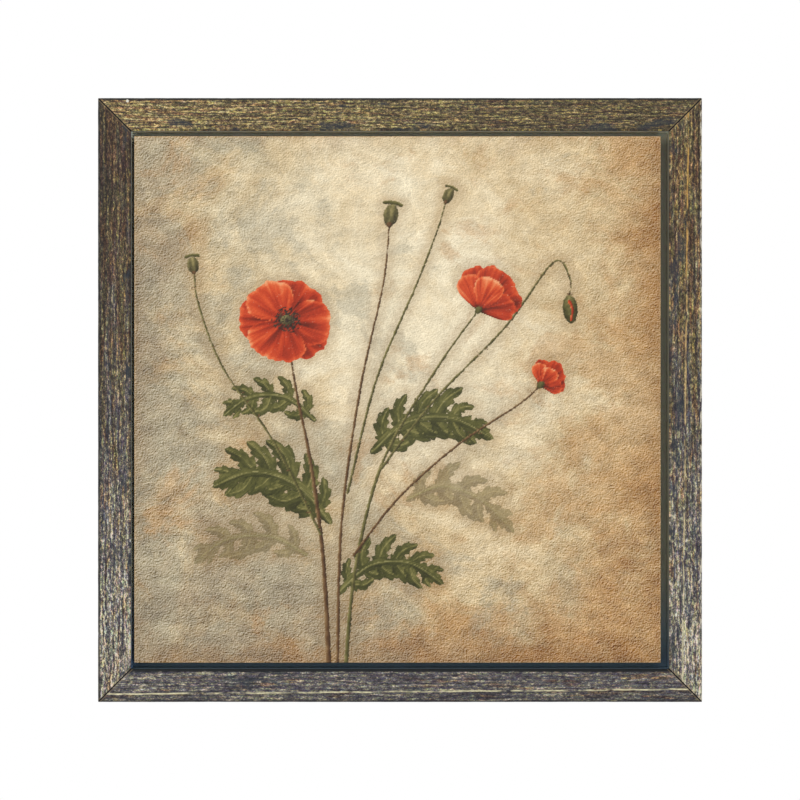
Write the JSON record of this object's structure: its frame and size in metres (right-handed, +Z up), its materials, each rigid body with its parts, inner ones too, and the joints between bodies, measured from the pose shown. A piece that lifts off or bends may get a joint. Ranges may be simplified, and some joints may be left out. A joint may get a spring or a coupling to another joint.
{
  "type": "framed canvas print",
  "caption": "Square canvas print on stretcher bars, held in a mitred floater frame of distressed wood, with a sawtooth hanger and wall bumpers on its back.",
  "frame": {"origin": "the middle notch of the sawtooth hanger, in the plane of the wall, where the wall's nail holds the picture", "axes": "+X to the viewer's right, +Y into the wall, so the picture faces -Y, +Z up"},
  "size_m": [0.582, 0.039, 0.582],
  "materials": {
    "frame_finish": "wire-brushed grain in gold and cream over dark brown, semi-matt; black inside the reveal",
    "stretcher_pine": "bare planed pine",
    "printed_canvas": "printed cotton canvas with a matt, lightly embossed face and a bare woven back",
    "zinc_steel": "bright zinc plate",
    "bumper_rubber": "matt black"
  },
  "bodies": {
    "root": {"bar_bottom": "stretcher_pine", "bar_left": "stretcher_pine", "bar_right": "stretcher_pine", "bar_top": "stretcher_pine", "bumper_left": "bumper_rubber", "bumper_right": "bumper_rubber", "canvas": "printed_canvas", "hanger": "zinc_steel", "hanger_screw_left": "zinc_steel", "hanger_screw_right": "zinc_steel", "rail_bottom": "frame_finish", "rail_left": "frame_finish", "rail_right": "frame_finish", "rail_top": "frame_finish", "screw_bottom_1": "zinc_steel", "screw_bottom_2": "zinc_steel", "screw_left_1": "zinc_steel", "screw_left_2": "zinc_steel", "screw_right_1": "zinc_steel", "screw_right_2": "zinc_steel", "screw_top_1": "zinc_steel", "screw_top_2": "zinc_steel", "staple_bottom_1": "zinc_steel", "staple_bottom_2": "zinc_steel", "staple_bottom_3": "zinc_steel", "staple_bottom_4": "zinc_steel", "staple_bottom_5": "zinc_steel", "staple_bottom_left": "zinc_steel", "staple_bottom_right": "zinc_steel", "staple_left_1": "zinc_steel", "staple_left_2": "zinc_steel", "staple_left_3": "zinc_steel", "staple_left_4": "zinc_steel", "staple_left_5": "zinc_steel", "staple_right_1": "zinc_steel", "staple_right_2": "zinc_steel", "staple_right_3": "zinc_steel", "staple_right_4": "zinc_steel", "staple_right_5": "zinc_steel", "staple_top_1": "zinc_steel", "staple_top_2": "zinc_steel", "staple_top_3": "zinc_steel", "staple_top_4": "zinc_steel", "staple_top_5": "zinc_steel", "staple_top_left": "zinc_steel", "staple_top_right": "zinc_steel", "vnail_bar_bottom_left": "zinc_steel", "vnail_bar_bottom_right": "zinc_steel", "vnail_bar_top_left": "zinc_steel", "vnail_bar_top_right": "zinc_steel", "vnail_foot_bottom_left": "zinc_steel", "vnail_foot_bottom_right": "zinc_steel", "vnail_foot_top_left": "zinc_steel", "vnail_foot_top_right": "zinc_steel", "vnail_wall_bottom_left": "zinc_steel", "vnail_wall_bottom_right": "zinc_steel", "vnail_wall_top_left": "zinc_steel", "vnail_wall_top_right": "zinc_steel"}
  },
  "joints": []
}
